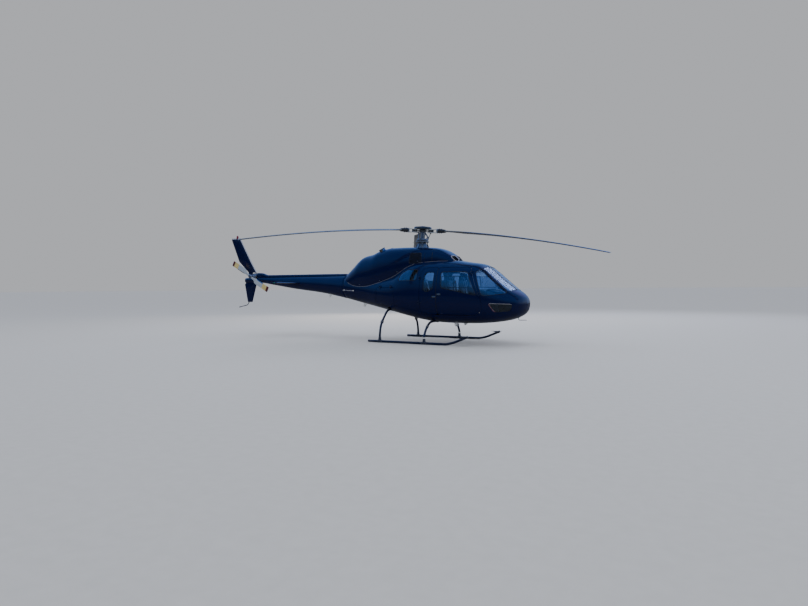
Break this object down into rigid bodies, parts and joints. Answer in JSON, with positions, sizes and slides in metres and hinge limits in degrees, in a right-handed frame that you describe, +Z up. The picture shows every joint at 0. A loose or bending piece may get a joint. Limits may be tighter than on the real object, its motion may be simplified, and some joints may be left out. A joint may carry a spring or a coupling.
{
  "type": "light twin-engine helicopter on skids",
  "caption": "Light cabin helicopter on skid gear, with turning main and tail rotors, hinged cabin doors and hinged baggage doors.",
  "frame": {"origin": "on the ground under the middle of the overall length, rotors included", "axes": "+X to the nose, +Y to the left side, +Z up"},
  "size_m": [13.0951, 9.4328, 3.42],
  "materials": {
    "hull": "high-gloss dark navy paint",
    "glass": "clear, lightly tinted acrylic",
    "seat": "dark woven upholstery",
    "interior": "matt dark lining",
    "main_blade": "satin grey composite",
    "tail_blade": "light grey with coloured tip bands",
    "rotor_metal": "dark satin metal",
    "machinery": "cast metal, plain",
    "exhaust": "heat-tinted steel",
    "gear": "gloss dark navy paint"
  },
  "bodies": {
    "airframe": {"belly_structure": "hull", "nose_shell": "hull", "canopy_frame": "hull", "windscreen_right": "glass", "forward_window_right": "glass", "chin_window_right": "glass", "windscreen_left": "glass", "forward_window_left": "glass", "chin_window_left": "glass", "aft_side_panel_right": "hull", "aft_window_right": "glass", "aft_side_panel_left": "hull", "aft_window_left": "glass", "cabin_bulkhead": "interior", "rear_body": "hull", "gearbox_cowl": "hull", "engine_cowl": "hull", "main_gearbox": "machinery", "engine_right": "machinery", "exhaust_right": "exhaust", "engine_left": "machinery", "exhaust_left": "exhaust", "tail_boom": "hull", "stabiliser": "hull", "upper_fin": "hull", "lower_fin": "hull", "tail_gearbox": "machinery", "skid_right": "gear", "skid_left": "gear", "front_cross_tube": "gear", "rear_cross_tube": "gear", "front_seat_right": "seat", "front_seat_left": "seat", "rear_bench": "seat", "instrument_panel": "interior"},
    "front_door_right": {"front_door_right": "hull", "front_door_glass_right": "glass"},
    "rear_door_right": {"rear_door_right": "hull", "rear_door_glass_right": "glass"},
    "baggage_door_right": {"baggage_door_right": "hull"},
    "front_door_left": {"front_door_left": "hull", "front_door_glass_left": "glass"},
    "rear_door_left": {"rear_door_left": "hull", "rear_door_glass_left": "glass"},
    "baggage_door_left": {"baggage_door_left": "hull"},
    "main_rotor": {"rotor_head": "rotor_metal", "blade_1": "main_blade", "blade_2": "main_blade", "blade_3": "main_blade"},
    "tail_rotor": {"tail_rotor": "tail_blade"}
  },
  "joints": [
    {"name": "front_door_right_hinge", "type": "hinge", "parent": "airframe", "child": "front_door_right", "pos_m": [3.3905, -0.915, 1.31], "axis": [-0.3869, 0.1411, 0.9113], "range_deg": [0, 75]},
    {"name": "rear_door_right_hinge", "type": "hinge", "parent": "airframe", "child": "rear_door_right", "pos_m": [1.6165, -0.968, 1.05], "axis": [0, -0.0731, -0.9973], "range_deg": [0, 95]},
    {"name": "baggage_door_right_hinge", "type": "hinge", "parent": "airframe", "child": "baggage_door_right", "pos_m": [0.7165, -0.868, 1.574], "axis": [-0.9619, 0.2732, 0], "range_deg": [0, 95]},
    {"name": "front_door_left_hinge", "type": "hinge", "parent": "airframe", "child": "front_door_left", "pos_m": [3.3905, 0.915, 1.31], "axis": [0.3869, 0.1411, -0.9113], "range_deg": [0, 75]},
    {"name": "rear_door_left_hinge", "type": "hinge", "parent": "airframe", "child": "rear_door_left", "pos_m": [1.6165, 0.968, 1.05], "axis": [0, -0.0731, 0.9973], "range_deg": [0, 95]},
    {"name": "baggage_door_left_hinge", "type": "hinge", "parent": "airframe", "child": "baggage_door_left", "pos_m": [0.7165, 0.868, 1.574], "axis": [0.9619, 0.2732, 0], "range_deg": [0, 95]},
    {"name": "main_rotor_spin", "type": "hinge", "parent": "airframe", "child": "main_rotor", "pos_m": [1.2305, 0, 3.205], "axis": [0.0483, 0, 0.9988], "continuous": true},
    {"name": "tail_rotor_spin", "type": "hinge", "parent": "airframe", "child": "tail_rotor", "pos_m": [-5.4175, -0.26, 1.968], "axis": [0, 1, 0], "continuous": true}
  ]
}
